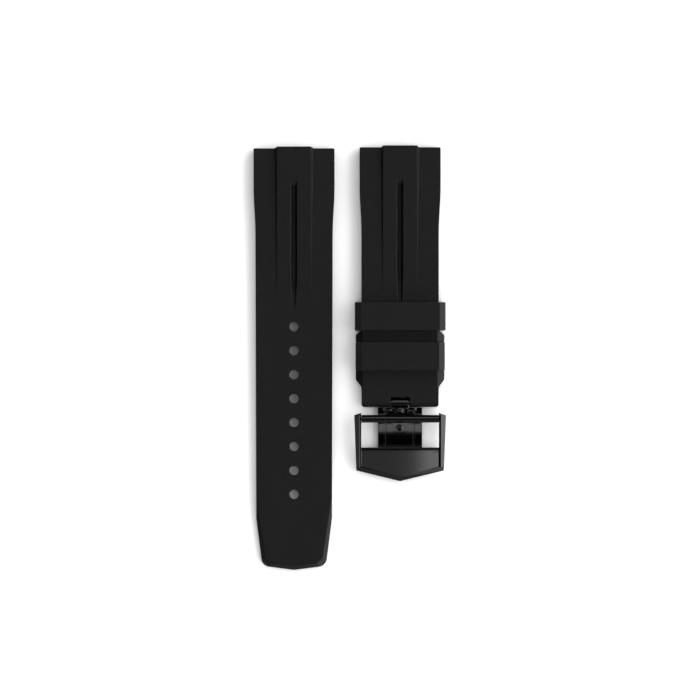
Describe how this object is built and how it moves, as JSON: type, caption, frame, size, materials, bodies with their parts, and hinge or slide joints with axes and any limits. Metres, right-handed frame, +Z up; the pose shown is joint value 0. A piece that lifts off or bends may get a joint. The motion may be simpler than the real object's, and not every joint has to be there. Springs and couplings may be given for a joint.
{
  "type": "rubber watch strap",
  "caption": "Two-piece black rubber watch strap with a ribbed centre, a holed tail, two keepers and a folding clasp with a hinged buckle frame.",
  "frame": {"origin": "centre of the whole as it lies, on the surface under it", "axes": "+Z up out of the surface, +Y along both pieces towards their lug ends, +X from the tail piece to the buckle piece"},
  "size_m": [0.0522, 0.1154, 0.0074],
  "materials": {
    "strap_rubber": "moulded, satin",
    "keeper_rubber": "moulded, satin",
    "brushed_black_steel": "black plated, brushed along its length, with polished bevels",
    "polished_black_steel": "black plated, polished",
    "plain_steel": "drawn, plain"
  },
  "bodies": {
    "strap": {"buckle_strap": "strap_rubber", "buckle_lug_tube": "plain_steel", "fixed_keeper": "keeper_rubber", "strap_end_bushes": "plain_steel", "strap_pin": "brushed_black_steel"},
    "keeper": {"floating_keeper": "keeper_rubber"},
    "base": {"base_blade": "brushed_black_steel", "snap_stud": "polished_black_steel"},
    "fork": {"middle_blade": "brushed_black_steel", "fold_pin": "polished_black_steel", "catch_wire": "polished_black_steel", "strap_peg": "polished_black_steel", "cross_bar_tube": "polished_black_steel", "spring_bar_body": "plain_steel", "spring_bar_coil": "plain_steel"},
    "buckle": {"buckle_frame": "brushed_black_steel"},
    "tip_left": {"spring_bar_tip_left": "plain_steel"},
    "tip_right": {"spring_bar_tip_right": "plain_steel"},
    "tail": {"tail_strap": "strap_rubber", "tail_lug_tube": "plain_steel"}
  },
  "joints": [
    {"name": "keeper_slide", "type": "slide", "parent": "strap", "child": "keeper", "axis": [0, 1, 0], "range_m": [0, 0.012]},
    {"name": "base_hinge", "type": "hinge", "parent": "strap", "child": "base", "pos_m": [0.01367, -0.01213, 0.00225], "axis": [-1, 0, 0], "range_deg": [-60, 60]},
    {"name": "fold_hinge", "type": "hinge", "parent": "base", "child": "fork", "pos_m": [0.01367, -0.02993, 0.001], "axis": [1, 0, 0], "range_deg": [0, 175]},
    {"name": "buckle_hinge", "type": "hinge", "parent": "fork", "child": "buckle", "pos_m": [0.01367, -0.01649, 0.0037], "axis": [-1, 0, 0], "range_deg": [0, 100]},
    {"name": "tip_left_slide", "type": "slide", "parent": "fork", "child": "tip_left", "axis": [1, 0, 0], "range_m": [0, 0.0013], "stiffness_N_per_m": 200},
    {"name": "tip_right_slide", "type": "slide", "parent": "fork", "child": "tip_right", "axis": [-1, 0, 0], "range_m": [0, 0.0013], "stiffness_N_per_m": 200},
    {"name": "tail_adjust", "type": "slide", "parent": "strap", "child": "tail", "axis": [0, -1, 0], "range_m": [0, 0.04564]}
  ]
}
